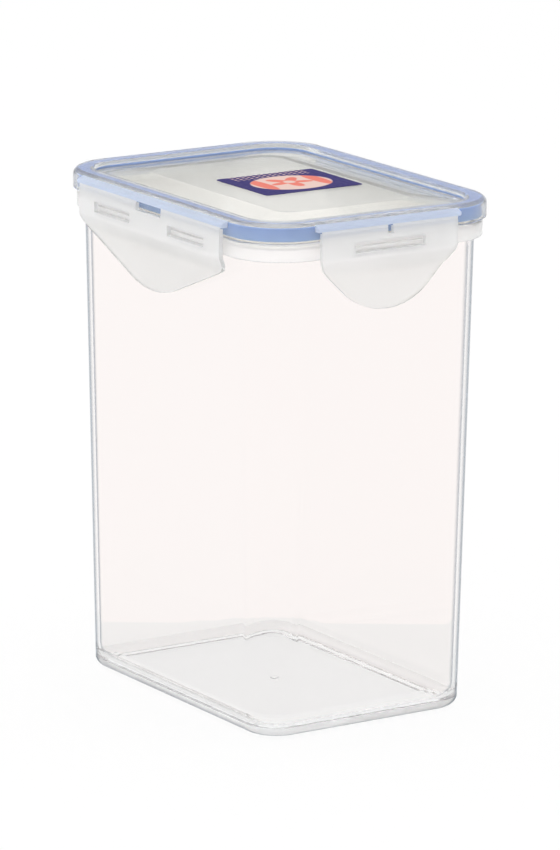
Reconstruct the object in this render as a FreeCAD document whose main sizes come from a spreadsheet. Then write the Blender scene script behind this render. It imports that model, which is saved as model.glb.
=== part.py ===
import FreeCAD, Part
import math
import os
import Sketcher
from FreeCAD import Placement, Rotation, Vector

# Tall clear food canister with a locking lid: container, lid, sealing ring, label and four flaps that
# hang on thin hinge films. Millimetres, +Z up, long side along X, origin on the table under the middle.

# Driving sizes. A reach is a distance outward from the outside face of the mouth, in plan.
SIZES = {
    # Container shell
    "mouth_length": 131.0,
    "mouth_width": 95.2,
    "mouth_corner": 17.0,
    "mouth_height": 182.0,
    "draft_inset": 4.0,
    "wall": 1.8,
    "floor": 2.0,
    "base_round": 3.7,
    "floor_round": 4.5,
    "lip_round": 0.5,
    # Foot ring under the floor
    "foot_height": 0.8,
    "foot_margin": 1.3,
    "foot_width": 2.0,
    # Collar that hangs from a flange round the mouth, and its catch ribs
    "lip_height": 4.6,
    "flange_thickness": 1.7,
    "collar_gap": 1.2,
    "collar_wall": 1.4,
    "collar_depth": 6.0,
    "rib_depth": 1.7,
    "rib_rise": 2.0,
    "rib_height": 1.5,
    "rib_overhang": 3.0,
    # Sealing ring between the lip and the lid
    "gasket_band": 1.4,
    "gasket_leg": 2.0,
    "gasket_leg_clearance": 0.5,
    "gasket_leg_lift": 0.6,
    "gasket_clearance": 0.1,
    # Lid rim, plug wall and panel
    "lid_wall": 1.4,
    "skirt_gap": 0.6,
    "rim_plate": 1.6,
    "rim_round": 2.2,
    "rim_inner_round": 0.9,
    "plug_clearance": 0.6,
    "plug_wall": 1.3,
    "plug_depth": 6.0,
    "recess_depth": 2.4,
    "panel": 1.6,
    "hip_margin": 1.5,
    "hip_run": 13.3,
    "hip_rise": 1.7,
    "plateau_corner": 9.0,
    # Label
    "label_length": 33.5,
    "label_width": 40.5,
    "label_corner": 1.0,
    "label_thickness": 0.15,
    "label_offset_x": 1.5,
    "label_offset_y": 4.0,
    # Hinge line shared by lands, films and flaps
    "hinge_drop": 3.6,
    "hinge_gap": 0.3,
    "film_radius": 0.35,
    "film_clearance": 0.05,
    "bevel_width": 0.27,
    "bevel_height": 0.75,
    "land_rise": 2.7,
    "land_slope": 1.0,
    "land_root": 1.2,
    "land_margin": 1.5,
    # Flaps
    "flap_clearance": 0.3,
    "flap_thickness": 1.6,
    "tongue_thickness": 1.3,
    "tongue_inset": 2.8,
    "tip_flare": 0.6,
    "bend_gap": 0.5,
    "bend_drop": 5.5,
    "bend_round": 4.0,
    "notch_depth": 2.8,
    "slot_height": 3.6,
    "slot_corner": 0.8,
    "hook_slack": 0.3,
    "hook_height": 1.5,
    "hook_clearance": 0.6,
    "hook_root": 0.2,
    # Outline of the flaps on the long sides
    "long_flap_margin": 2.1,
    "long_flap_depth": 30.4,
    "long_flap_corner": 6.0,
    "long_flap_tip": 40.0,
    "long_flap_slope": 22.0,
    "long_flap_notch": 16.5,
    "long_slot_length": 23.5,
    "long_slot_spread": 24.4,
    # Outline of the flaps on the short sides
    "short_flap_margin": 2.6,
    "short_flap_depth": 29.5,
    "short_flap_corner": 8.0,
    "short_flap_tip": 25.0,
    "short_flap_slope": 45.0,
    "short_flap_notch": 2.2,
    "short_slot_length": 29.0,
}


class Size:
    """A length that carries both its number and the expression that gives it from the sheet."""

    def __init__(self, value, text):
        self.value = value
        self.text = text

    def joined(self, sign, value, other):
        return Size(value, f"({self.text} {sign} {other.text})")

    def __add__(self, other):
        return self.joined("+", self.value + other.value, other)

    def __sub__(self, other):
        return self.joined("-", self.value - other.value, other)

    def __mul__(self, factor):
        return Size(self.value * factor, f"({self.text} * {factor})")

    def __truediv__(self, factor):
        return Size(self.value / factor, f"({self.text} / {factor})")

    def __neg__(self):
        return self * -1


doc = FreeCAD.newDocument("canister")
sheet = doc.addObject("Spreadsheet::Sheet", "Sizes")
for row, (alias, number) in enumerate(SIZES.items(), start=1):
    sheet.set(f"A{row}", alias)
    sheet.set(f"B{row}", str(number))
    sheet.setAlias(f"B{row}", alias)
doc.recompute()
S = {alias: Size(float(sheet.get(alias)), f"Sizes.{alias}") for alias in SIZES}
ZERO = Size(0.0, "0")

# Heights that follow from the driving sizes
FLOOR_TOP = S["foot_height"] + S["floor"]
FLANGE_TOP = S["mouth_height"] - S["lip_height"]
COLLAR_BOTTOM = FLANGE_TOP - S["collar_depth"]
RIB_BOTTOM = COLLAR_BOTTOM + S["rib_rise"]
SKIRT_BOTTOM = FLANGE_TOP + S["skirt_gap"]
CHANNEL_TOP = S["mouth_height"] + S["gasket_band"]
LID_TOP = CHANNEL_TOP + S["rim_plate"]
PANEL_TOP = LID_TOP - S["recess_depth"]
PANEL_BOTTOM = PANEL_TOP - S["panel"]
HINGE = LID_TOP - S["hinge_drop"]
HOOK_TOP = RIB_BOTTOM - S["hook_slack"]
HOOK_BOTTOM = HOOK_TOP - S["hook_height"]
BEND_TOP = COLLAR_BOTTOM - S["bend_gap"]
BEND_LOW = BEND_TOP - S["bend_drop"]

# Reaches that follow from the driving sizes
COLLAR_INNER = S["collar_gap"]
COLLAR_REACH = COLLAR_INNER + S["collar_wall"]
RIB_REACH = COLLAR_REACH + S["rib_depth"]
GASKET_REACH = S["gasket_leg_clearance"] + S["gasket_leg"]
CHANNEL_OUTER = GASKET_REACH + S["gasket_clearance"]
CHANNEL_INNER = -S["wall"] - S["plug_clearance"]
PLUG_INNER = CHANNEL_INNER - S["plug_wall"]
LID_REACH = CHANNEL_OUTER + S["lid_wall"]
FLAP_INNER = RIB_REACH + S["flap_clearance"]
FLAP_REACH = FLAP_INNER + S["flap_thickness"]
AXIS_REACH = FLAP_REACH - S["film_radius"]
GROOVE_RADIUS = S["film_radius"] + S["film_clearance"]

# Sides in quarter turns from the front: the span of the mouth across each, along it, and its flap's kind
SIDES = {
    "front": ("width", "length", "long"),
    "right": ("length", "width", "short"),
    "back": ("width", "length", "long"),
    "left": ("length", "width", "short"),
}


def flap_width(along, kind):
    """A flap fills the straight stretch of its side less a margin at each end."""
    straight = S[f"mouth_{along}"] - S["mouth_corner"] * 2
    return straight - S[f"{kind}_flap_margin"] * 2


def bind(item, path, size):
    item.setExpression(path, size.text)


def start_body(label):
    body = doc.addObject("PartDesign::Body", label)
    body.Label = label
    return body


def start_sketch(body, name, role, offset=None):
    """A sketch on one of the body's own origin planes, moved along the plane's normal by offset."""
    sketch = body.newObject("Sketcher::SketchObject", f"{body.Name}_{name}")
    plane = next(item for item in body.Origin.OriginFeatures if item.Role == role)
    sketch.AttachmentSupport = [(plane, "")]
    sketch.MapMode = "FlatFace"
    if offset is not None:
        bind(sketch, "AttachmentOffset.Base.z", offset)
    return sketch


def relate(sketch, kind, *where):
    sketch.addConstraint(Sketcher.Constraint(kind, *where))


def dimension(sketch, kind, size, *where):
    """A driving dimension bound to the sheet. Angles are in degrees."""
    number = math.radians(size.value) if kind == "Angle" else size.value
    index = sketch.addConstraint(Sketcher.Constraint(kind, *where, number))
    name = f"size{index}"
    sketch.renameConstraint(index, name)
    text = f"{size.text} * 1 deg" if kind == "Angle" else size.text
    sketch.setExpression(f"Constraints.{name}", text)


def locate(sketch, geometry, end, across, up):
    """Fixes one point of a line or circle by its coordinates in the sketch."""
    dimension(sketch, "DistanceX", across, -1, 1, geometry, end)
    dimension(sketch, "DistanceY", up, -1, 1, geometry, end)


def line(start, end):
    return Part.LineSegment(Vector(*start, 0), Vector(*end, 0))


def arc(center, radius, begin, finish):
    return Part.ArcOfCircle(Part.Circle(Vector(*center, 0), Vector(0, 0, 1), radius), begin, finish)


def circle(sketch, across, up, radius):
    ring = Part.Circle(Vector(across.value, up.value, 0), Vector(0, 0, 1), radius.value)
    index = sketch.addGeometry(ring, False)
    dimension(sketch, "Radius", radius, index)
    locate(sketch, index, 3, across, up)


def polygon(sketch, points):
    """Closed outline of straight edges whose corners are given by sizes."""
    first = sketch.GeometryCount
    count = len(points)
    places = [(across.value, up.value) for across, up in points]
    for index in range(count):
        sketch.addGeometry(line(places[index], places[(index + 1) % count]), False)
    for index, (across, up) in enumerate(points):
        relate(sketch, "Coincident", first + index, 2, first + (index + 1) % count, 1)
        locate(sketch, first + index, 1, across, up)


def rectangle(sketch, left, right, bottom, top):
    polygon(sketch, [(left, bottom), (right, bottom), (right, top), (left, top)])


def rounded_rectangle(sketch, length, width, corner, center=None):
    """Rectangle with equal round corners, about the sketch origin or about center."""
    middle_x = center[0].value if center else 0.0
    middle_y = center[1].value if center else 0.0
    radius = corner.value
    quarter = math.pi / 2
    first = sketch.GeometryCount
    half = {"x": length.value / 2, "y": width.value / 2}
    signs = [(1, -1), (1, 1), (-1, 1), (-1, -1)]
    centers = [(middle_x + x * (half["x"] - radius), middle_y + y * (half["y"] - radius)) for x, y in signs]
    for side in range(4):
        normal = (side - 1) * quarter
        shift = (radius * math.cos(normal), radius * math.sin(normal))
        ends = [(x + shift[0], y + shift[1]) for x, y in (centers[side - 1], centers[side])]
        sketch.addGeometry(line(*ends), False)
    for side in range(4):
        begin = (side - 1) * quarter
        sketch.addGeometry(arc(centers[side], radius, begin, begin + quarter), False)
    for side in range(4):
        edge = first + side
        bend = first + 4 + side
        relate(sketch, "Tangent", edge, 2, bend, 1)
        relate(sketch, "Tangent", bend, 2, first + (side + 1) % 4, 1)
        relate(sketch, "Vertical" if side % 2 else "Horizontal", edge)
        if side:
            relate(sketch, "Equal", first + 4, bend)
    dimension(sketch, "DistanceX", length, first + 3, 1, first + 1, 1)
    dimension(sketch, "DistanceY", width, first, 1, first + 2, 1)
    dimension(sketch, "Radius", corner, first + 4)
    if center:
        dimension(sketch, "DistanceX", center[0] - length / 2, -1, 1, first + 3, 1)
        dimension(sketch, "DistanceY", center[1] - width / 2, -1, 1, first, 1)
    else:
        relate(sketch, "Symmetric", first, 1, first + 2, 1, -1, 1)


def plan_outline(sketch, reach, corner=None):
    """The mouth outline moved outward by reach, or inward where reach is negative."""
    length = S["mouth_length"] + reach * 2
    width = S["mouth_width"] + reach * 2
    rounded_rectangle(sketch, length, width, corner or S["mouth_corner"] + reach)


def plan_sketch(body, name, height, *reaches):
    """A flat sketch at a height with one mouth-shaped outline for each reach."""
    sketch = start_sketch(body, name, "XY_Plane", height)
    for reach in reaches:
        plan_outline(sketch, reach)
    return sketch


def feature(body, kind, name, sketch):
    item = body.newObject(f"PartDesign::{kind}", f"{body.Name}_{name}")
    item.Profile = sketch
    return item


def pad(body, name, sketch, length, symmetric=False, taper=None):
    item = feature(body, "Pad", name, sketch)
    bind(item, "Length", length)
    item.SideType = "Symmetric" if symmetric else "One side"
    if taper:
        item.setExpression("TaperAngle", taper)
    doc.recompute()
    return item


def pocket(body, name, sketch, depth=None, upward=False, taper=None):
    """Cuts depth into the solid, or right through on both sides where depth is left out."""
    before = body.Shape.Volume
    item = feature(body, "Pocket", name, sketch)
    if depth is None:
        item.Type = "ThroughAll"
        item.SideType = "Symmetric"
    else:
        bind(item, "Length", depth)
        item.Reversed = upward
    if taper:
        item.setExpression("TaperAngle", taper)
    doc.recompute()
    if not item.Shape.Volume < before:
        raise ValueError(f"{item.Name} cuts nothing")
    return item


def loft(body, kind, name, lower, upper):
    item = feature(body, kind, name, lower)
    item.Sections = [upper]
    item.Ruled = True
    doc.recompute()


def round_edges(body, name, base, radius, chosen):
    """Fillet on the edges of base that the chosen test picks."""
    edges = [f"Edge{number}" for number, edge in enumerate(base.Shape.Edges, start=1) if chosen(edge)]
    item = body.newObject("PartDesign::Fillet", f"{body.Name}_{name}")
    item.Base = (base, edges)
    bind(item, "Radius", radius)
    doc.recompute()
    return item


def level_edges(height, inside=None):
    """Test for edges that lie flat at a height, within the mouth outline moved by inside where given."""
    near = 1e-4

    def chosen(edge):
        box = edge.BoundBox
        level = abs(box.ZMin - height.value) < near and abs(box.ZMax - height.value) < near
        if inside is None or not level:
            return level
        limit = S["mouth_length"].value / 2 + inside.value
        return max(abs(box.XMin), abs(box.XMax)) < limit + near

    return chosen


def build_container():
    """Drafted shell with a round-edged floor, a foot ring, a hanging collar, catch ribs and a lip."""
    body = start_body("container")
    height = S["mouth_height"] - S["foot_height"]
    draft = f"atan({S['draft_inset'].text} / {height.text})"
    base = plan_sketch(body, "base", S["foot_height"], -S["draft_inset"])
    block = pad(body, "block", base, height, taper=draft)
    round_edges(body, "base_edge", block, S["base_round"], level_edges(S["foot_height"]))
    mouth = plan_sketch(body, "mouth", S["mouth_height"], -S["wall"])
    hollow = pocket(body, "hollow", mouth, S["mouth_height"] - FLOOR_TOP, taper=f"-{draft}")
    floor_edge = round_edges(body, "floor_edge", hollow, S["floor_round"], level_edges(FLOOR_TOP))
    round_edges(body, "lip_edge", floor_edge, S["lip_round"], level_edges(S["mouth_height"]))

    foot_reach = -S["draft_inset"] - S["base_round"] - S["foot_margin"]
    foot = plan_sketch(body, "foot", None, foot_reach, foot_reach - S["foot_width"])
    pad(body, "foot_ring", foot, S["foot_height"] + S["floor"] / 2)

    flange_bottom = FLANGE_TOP - S["flange_thickness"]
    flange = plan_sketch(body, "flange", flange_bottom, COLLAR_REACH, -S["wall"] / 2)
    pad(body, "flange_plate", flange, S["flange_thickness"])
    collar = plan_sketch(body, "collar", COLLAR_BOTTOM, COLLAR_REACH, COLLAR_INNER)
    pad(body, "collar_skirt", collar, S["collar_depth"])

    ribs = start_sketch(body, "ribs", "XY_Plane", RIB_BOTTOM)
    root = COLLAR_REACH - S["collar_wall"] / 2
    long_half = S["long_slot_spread"] + S["long_slot_length"] / 2 + S["rib_overhang"]
    short_half = S["short_slot_length"] / 2 + S["rib_overhang"]
    for sign in (-1, 1):
        near, far = [(S["mouth_width"] / 2 + reach) * sign for reach in (root, RIB_REACH)]
        rectangle(ribs, -long_half, long_half, near, far)
        near, far = [(S["mouth_length"] / 2 + reach) * sign for reach in (root, RIB_REACH)]
        rectangle(ribs, near, far, -short_half, short_half)
    pad(body, "catch_ribs", ribs, S["rib_height"])
    return body


def land_section(sketch, across, sign):
    """Section of a hinge land on one side: sloping top, upright face, bevelled and level underside."""
    half = S[f"mouth_{across}"] / 2
    inner = half + LID_REACH - S["land_root"]
    face = half + FLAP_REACH
    bottom = HINGE + S["hinge_gap"]
    top = HINGE + S["land_rise"]
    points = [
        (inner, bottom),
        (face - S["bevel_width"], bottom),
        (face, bottom + S["bevel_height"]),
        (face, top - S["land_slope"]),
        (half + LID_REACH, top),
        (inner, top),
    ]
    polygon(sketch, [(reach * sign, up) for reach, up in points])


def build_lid():
    """Rim with a channel under it, a plug wall that enters the mouth, a hipped panel and four lands."""
    body = start_body("lid")
    outline = plan_sketch(body, "outline", SKIRT_BOTTOM, LID_REACH)
    block = pad(body, "block", outline, LID_TOP - SKIRT_BOTTOM)
    round_edges(body, "rim_edge", block, S["rim_round"], level_edges(LID_TOP))
    recess = plan_sketch(body, "recess", LID_TOP, PLUG_INNER)
    dished = pocket(body, "recess_cut", recess, S["recess_depth"])
    inner_edge = level_edges(LID_TOP, inside=PLUG_INNER)
    round_edges(body, "rim_inner_edge", dished, S["rim_inner_round"], inner_edge)
    channel = plan_sketch(body, "channel", SKIRT_BOTTOM, CHANNEL_OUTER, CHANNEL_INNER)
    pocket(body, "channel_cut", channel, CHANNEL_TOP - SKIRT_BOTTOM, upward=True)
    under = plan_sketch(body, "under", SKIRT_BOTTOM, PLUG_INNER)
    pocket(body, "under_cut", under, PANEL_BOTTOM - SKIRT_BOTTOM, upward=True)
    plug = plan_sketch(body, "plug", PANEL_BOTTOM - S["plug_depth"], CHANNEL_INNER, PLUG_INNER)
    pad(body, "plug_wall", plug, S["plug_depth"])

    hips = (
        ("AdditiveLoft", "hips", PANEL_TOP, ZERO),
        ("SubtractiveLoft", "hips_under", PANEL_BOTTOM, S["panel"]),
    )
    for kind, name, height, shrink in hips:
        reach = PLUG_INNER - S["hip_margin"] - shrink
        lower = plan_sketch(body, f"{name}_low", height, reach)
        upper = start_sketch(body, f"{name}_high", "XY_Plane", height + S["hip_rise"])
        plan_outline(upper, reach - S["hip_run"], S["plateau_corner"] - shrink)
        loft(body, kind, name, lower, upper)

    for role, side in (("YZ_Plane", "front"), ("XZ_Plane", "right")):
        across, along, kind = SIDES[side]
        section = start_sketch(body, f"{kind}_lands", role)
        groove = start_sketch(body, f"{kind}_grooves", role)
        for sign in (-1, 1):
            land_section(section, across, sign)
            circle(groove, (S[f"mouth_{across}"] / 2 + AXIS_REACH) * sign, HINGE, GROOVE_RADIUS)
        land_length = flap_width(along, kind) + S["land_margin"] * 2
        pad(body, f"{kind}_land_pair", section, land_length, symmetric=True)
        pocket(body, f"{kind}_groove_pair", groove)
    return body


def build_gasket():
    """Ring of L section: a flat band between lip and channel top, and a leg outside the lip."""
    body = start_body("gasket")
    inside = CHANNEL_INNER + S["gasket_clearance"]
    band = plan_sketch(body, "band", S["mouth_height"], GASKET_REACH, inside)
    pad(body, "band_ring", band, S["gasket_band"])
    leg_bottom = SKIRT_BOTTOM + S["gasket_leg_lift"]
    leg = plan_sketch(body, "leg", leg_bottom, GASKET_REACH, S["gasket_leg_clearance"])
    pad(body, "leg_ring", leg, CHANNEL_TOP - leg_bottom)
    return body


def build_label():
    """Thin rectangular sheet stuck on the flat top of the panel."""
    body = start_body("label")
    outline = start_sketch(body, "outline", "XY_Plane", PANEL_TOP + S["hip_rise"])
    center = (S["label_offset_x"], S["label_offset_y"])
    rounded_rectangle(outline, S["label_length"], S["label_width"], S["label_corner"], center)
    pad(body, "sheet", outline, S["label_thickness"])
    return body


def tongue_outline(sketch, kind, width):
    """Flap outline: level top, upright sides, round corners, slanted edges and a round tip."""
    half = width / 2
    top = HINGE + S["land_rise"]
    corner = S[f"{kind}_flap_corner"]
    tip = S[f"{kind}_flap_tip"]
    tip_middle = HINGE - S[f"{kind}_flap_depth"] + tip
    slope = math.radians(S[f"{kind}_flap_slope"].value)
    tip_x = tip.value * math.sin(slope)
    tip_z = tip_middle.value - tip.value * math.cos(slope)
    corner_x = half.value - corner.value
    low_x = corner_x + corner.value * math.sin(slope)
    low_z = tip_z + (low_x - tip_x) * math.tan(slope)
    corner_z = low_z + corner.value * math.cos(slope)
    quarter = math.pi / 2
    pieces = [
        line((half.value, top.value), (-half.value, top.value)),
        line((-half.value, top.value), (-half.value, corner_z)),
        arc((-corner_x, corner_z), corner.value, 2 * quarter, 3 * quarter - slope),
        line((-low_x, low_z), (-tip_x, tip_z)),
        arc((0, tip_middle.value), tip.value, 3 * quarter - slope, 3 * quarter + slope),
        line((tip_x, tip_z), (low_x, low_z)),
        arc((corner_x, corner_z), corner.value, 3 * quarter + slope, 4 * quarter),
        line((half.value, corner_z), (half.value, top.value)),
    ]
    first = sketch.GeometryCount
    level, left, left_bend, left_slant, tip_bend, right_slant, right_bend, right = range(first, first + 8)
    for piece in pieces:
        sketch.addGeometry(piece, False)
    relate(sketch, "Coincident", level, 2, left, 1)
    relate(sketch, "Coincident", right, 2, level, 1)
    for index in range(left, right):
        relate(sketch, "Tangent", index, 2, index + 1, 1)
    relate(sketch, "Horizontal", level)
    relate(sketch, "Vertical", left)
    relate(sketch, "Vertical", right)
    relate(sketch, "Equal", left_bend, right_bend)
    relate(sketch, "Equal", left_slant, right_slant)
    relate(sketch, "PointOnObject", tip_bend, 3, -2)
    locate(sketch, level, 1, half, top)
    dimension(sketch, "DistanceX", -half, -1, 1, left, 1)
    dimension(sketch, "Radius", corner, left_bend)
    dimension(sketch, "Radius", tip, tip_bend)
    dimension(sketch, "DistanceY", tip_middle, -1, 1, tip_bend, 3)
    dimension(sketch, "Angle", S[f"{kind}_flap_slope"], right_slant)


def flap_section(sketch, kind):
    """Section of a flap across its hinge, where outward is negative, from the mouth's outside face."""
    top = HINGE - S["hinge_gap"]
    tip = HINGE - S[f"{kind}_flap_depth"] - S["tip_flare"]
    tongue = FLAP_REACH - S["tongue_inset"]
    tip_face = tongue + S["tip_flare"]
    points = [
        (FLAP_REACH - S["bevel_width"], top),
        (FLAP_REACH, top - S["bevel_height"]),
        (FLAP_REACH, BEND_TOP),
        (tongue, BEND_LOW),
        (tip_face, tip),
        (tip_face - S["tongue_thickness"], tip),
        (tongue - S["tongue_thickness"], BEND_LOW),
        (FLAP_INNER, BEND_TOP),
        (FLAP_INNER, top),
    ]
    polygon(sketch, [(-reach, up) for reach, up in points])


def hook_centers(kind):
    """Places of the slots and hooks along the flap: two on a long side, one on a short side."""
    if kind == "short":
        return [ZERO]
    return [-S["long_slot_spread"], S["long_slot_spread"]]


def place_side(item, side):
    """Turns a piece made for the front to its side and moves it out to the mouth's face there."""
    across, along, kind = SIDES[side]
    angle = list(SIDES).index(side) * math.pi / 2
    item.Placement = Placement(Vector(0, 0, 0), Rotation(Vector(0, 0, 1), math.degrees(angle)))
    distance = S[f"mouth_{across}"] / 2
    bind(item, "Placement.Base.x", distance * round(math.sin(angle)))
    bind(item, "Placement.Base.y", distance * -round(math.cos(angle)))


def build_flap(side):
    """Bent tongue with a hinge groove along its top, a notch between its films, slots and hooks."""
    across, along, kind = SIDES[side]
    body = start_body(f"flap_{side}")
    width = flap_width(along, kind)
    section = start_sketch(body, "section", "YZ_Plane")
    flap_section(section, kind)
    plate = pad(body, "plate", section, width, symmetric=True)

    def bend_edge(edge):
        box = edge.BoundBox
        near = 1e-4
        along_hinge = box.XLength > width.value / 2
        return along_hinge and any(abs(box.ZMin - height.value) < near for height in (BEND_TOP, BEND_LOW))

    round_edges(body, "bends", plate, S["bend_round"], bend_edge)
    trim = start_sketch(body, "trim", "XZ_Plane")
    below = HINGE - S[f"{kind}_flap_depth"] * 2
    rectangle(trim, -width, width, below, HINGE + S["land_rise"] * 2)
    tongue_outline(trim, kind, width)
    pocket(body, "trim_cut", trim)

    windows = start_sketch(body, "windows", "XZ_Plane")
    for center in hook_centers(kind):
        middle = (center, HOOK_TOP + S["slot_height"] / 2)
        rounded_rectangle(windows, S[f"{kind}_slot_length"], S["slot_height"], S["slot_corner"], middle)
    half_notch = S[f"{kind}_flap_notch"] / 2
    rectangle(windows, -half_notch, half_notch, HINGE - S["notch_depth"], HINGE + S["land_rise"])
    pocket(body, "windows_cut", windows)

    groove = start_sketch(body, "groove", "YZ_Plane")
    circle(groove, -AXIS_REACH, HINGE, GROOVE_RADIUS)
    pocket(body, "groove_cut", groove)

    tip = COLLAR_REACH + S["hook_clearance"]
    root = FLAP_INNER + S["hook_root"]
    for number, center in enumerate(hook_centers(kind), start=1):
        hook = start_sketch(body, f"hook_{number}", "YZ_Plane", center)
        points = [
            (root, HOOK_TOP),
            (tip, HOOK_TOP),
            (tip, HOOK_TOP - S["hook_height"] / 2),
            (FLAP_INNER, HOOK_BOTTOM),
            (root, HOOK_BOTTOM),
        ]
        polygon(hook, [(-reach, up) for reach, up in points])
        pad(body, f"hook_{number}_bar", hook, S[f"{kind}_slot_length"], symmetric=True)
    place_side(body, side)
    return body


def build_film(side, number):
    """One of a flap's two hinge films: a thin round strip along the hinge line beside the notch."""
    across, along, kind = SIDES[side]
    body = start_body(f"web_{side}_{number}")
    notch = S[f"{kind}_flap_notch"] / 2
    length = flap_width(along, kind) / 2 - notch
    middle = notch + length / 2
    strip = start_sketch(body, "strip", "YZ_Plane", middle if number == 2 else -middle)
    circle(strip, -AXIS_REACH, HINGE, S["film_radius"])
    pad(body, "strip_pad", strip, length, symmetric=True)
    place_side(body, side)
    return body


def main():
    pieces = [build_container(), build_lid(), build_gasket(), build_label()]
    for side in SIDES:
        pieces.append(build_flap(side))
        pieces += [build_film(side, number) for number in (1, 2)]
    doc.recompute()
    for item in doc.Objects:
        if "Invalid" in item.State or "Error" in item.State:
            raise ValueError(f"{item.Label} did not compute: {item.State}")
    for piece in pieces:
        shape = piece.Shape
        if shape.isNull() or not shape.isValid() or len(shape.Solids) != 1:
            raise ValueError(f"{piece.Label} is not one valid solid")
    os.makedirs("parts", exist_ok=True)
    for piece in pieces:
        piece.Shape.exportStep(f"parts/{piece.Label}.step")
        box = piece.Shape.BoundBox
        print(f"{piece.Label}: {piece.Shape.Volume:.1f} mm3, Z {box.ZMin:.2f} to {box.ZMax:.2f}")


main()
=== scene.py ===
"""Clear food canister with a milky locking lid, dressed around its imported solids."""
import math

import bmesh
import bpy
import numpy as np
from bpy.props import FloatProperty, FloatVectorProperty, PointerProperty
from bpy.types import NodeSocket, Operator, Panel, PropertyGroup
from mathutils import Matrix, Vector


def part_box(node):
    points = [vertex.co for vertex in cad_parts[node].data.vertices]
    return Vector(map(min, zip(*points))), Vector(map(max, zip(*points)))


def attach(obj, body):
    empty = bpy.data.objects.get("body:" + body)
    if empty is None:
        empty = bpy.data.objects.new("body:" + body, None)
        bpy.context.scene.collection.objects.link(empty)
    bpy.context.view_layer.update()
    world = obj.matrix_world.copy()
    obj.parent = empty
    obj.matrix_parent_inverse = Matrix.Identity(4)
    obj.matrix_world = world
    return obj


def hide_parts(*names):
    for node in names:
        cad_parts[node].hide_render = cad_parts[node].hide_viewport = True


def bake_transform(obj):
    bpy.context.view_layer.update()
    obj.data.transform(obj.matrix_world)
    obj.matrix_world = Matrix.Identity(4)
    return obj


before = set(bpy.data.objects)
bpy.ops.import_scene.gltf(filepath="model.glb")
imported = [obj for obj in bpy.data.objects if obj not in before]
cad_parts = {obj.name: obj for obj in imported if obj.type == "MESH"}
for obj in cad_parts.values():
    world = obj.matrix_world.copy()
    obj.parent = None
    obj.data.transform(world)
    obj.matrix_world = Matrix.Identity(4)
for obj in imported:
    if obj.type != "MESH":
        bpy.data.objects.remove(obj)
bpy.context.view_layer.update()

bl_info = {
    "name": "Clear food canister",
    "version": (1, 0, 0),
    "blender": (4, 5, 0),
    "location": "View3D > Sidebar > Canister",
    "description": "Builds the looks of a clear food canister with a locking lid",
    "category": "Add Mesh",
}

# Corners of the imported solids, in metres
CONTAINER_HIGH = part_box("container")[1]
LID_LOW, LID_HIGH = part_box("lid")
SEAL_LOW, SEAL_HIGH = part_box("gasket")
LABEL_LOW, LABEL_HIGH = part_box("label")
LONG_FLAP_LOW, LONG_FLAP_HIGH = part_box("flap_front")
SHORT_FLAP_LOW, SHORT_FLAP_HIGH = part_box("flap_right")
LONG_FILM_LOW, LONG_FILM_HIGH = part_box("web_front_2")
SHORT_FILM_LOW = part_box("web_right_2")[0]

# Height of the hinge lines and radius of the hinge films
HINGE = (LONG_FILM_LOW.z + LONG_FILM_HIGH.z) / 2
FILM_RADIUS = (LONG_FILM_HIGH.z - LONG_FILM_LOW.z) / 2

MM = 0.001
TINY = 1e-9
SAME_POINT = 1e-7
SEAL_REACH = 2.5 * MM
WHITE = (1.0, 1.0, 1.0)

# Radii of small moulded edges
TIGHT_EDGE = 0.25 * MM
FINE_EDGE = 0.3 * MM
SMALL_EDGE = 0.4 * MM
SOFT_EDGE = 0.5 * MM

# Steps round the edges of a section, and border of the container's floor inside the foot ring
PROFILE_STEPS = 8
FLOOR_BORDER = 1.5 * MM

# Depth of the catch ribs in the collar and of the hooks in their flap, and edge radius of the hooks
RIB_ROOT = 0.3 * MM
HOOK_ROOT = 0.2 * MM
HOOK_ROUND = 0.15 * MM

# Gap round the sealing ring, its gap to the plug wall and the thickness of its leg
SEAL_GAP = 0.06 * MM
SEAL_FIT = 0.1 * MM
SEAL_LEG = 2.0 * MM

# Rings over the container's underside and floor and over the lid's slopes and plateau, as shares of the way
UNDER_STOPS = (0.2, 0.6, 0.95)
FLOOR_STOPS = (0.95, 0.6, 0.3)
HIP_STOPS = np.array([0.04, 0.5, 0.96])[:, None]
PLATEAU_STOPS = (0.98, 0.6, 0.2)

# Profile of the gate mark as shares of its radius and height
GATE_PROFILE = ((2.0, 0.0), (1.1, 0.0), (1.0, 1.0), (0.5, 1.0))

# Share of the satin skin on the flat underside, share of the painted edge shade on the base's round edge,
# and slack in the limits of the marks
UNDER_SATIN = 0.2
ROUND_EDGE_SHADE = 0.6
MARK_SLACK = 0.1 * MM

# Glow of the seal through the lid by reach from the mouth
GLOW_REACH = np.array([-3.4, -2.4, 2.4, 3.6]) * MM
GLOW_SHARE = np.array([0.0, 1.0, 1.0, 0.0])

# Label: corner radius and grid step, then its print in shares of its half length and half width
LABEL_CORNER = 1.0 * MM
LABEL_STEP = 0.25 * MM
PANEL_SHIFT = 0.08
PANEL_HALF = (0.72, 0.76)
ROSETTE_RADIUS = 0.36
ROSETTE_SWELL = 0.16
ROSETTE_PETALS = 5
ROSETTE_STRETCH = 1.2
ROSETTE_EYE = 0.13
LEAF_PLACE = (0.02, 0.56)
LEAF_HALF = (0.62, 0.13)
DOT_COUNTS = (7.5, 9.0)
DOT_RADIUS = 0.25
DOT_START = 0.6
DOT_REACH = 0.8

# Grid of a flap
FLAP_STEP = 1.6 * MM
FLAP_ROWS = 34

# Hinge films: half the thickness, overlap with lid and flap, edge radius, and a share of the film's
# radius that places two points above and below the hinge line
FILM_HALF = 0.22 * MM
FILM_OVERLAP = 0.12 * MM
FILM_ROUND = 0.15 * MM
FILM_BLEND = 0.7

# Dullness that the satin skin adds, dust on the seal, and share of the floor's look that takes shadow
SATIN_DULL = 0.4
SEAL_DUST = 0.82
SHADOW_SHARE = 0.15

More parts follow.
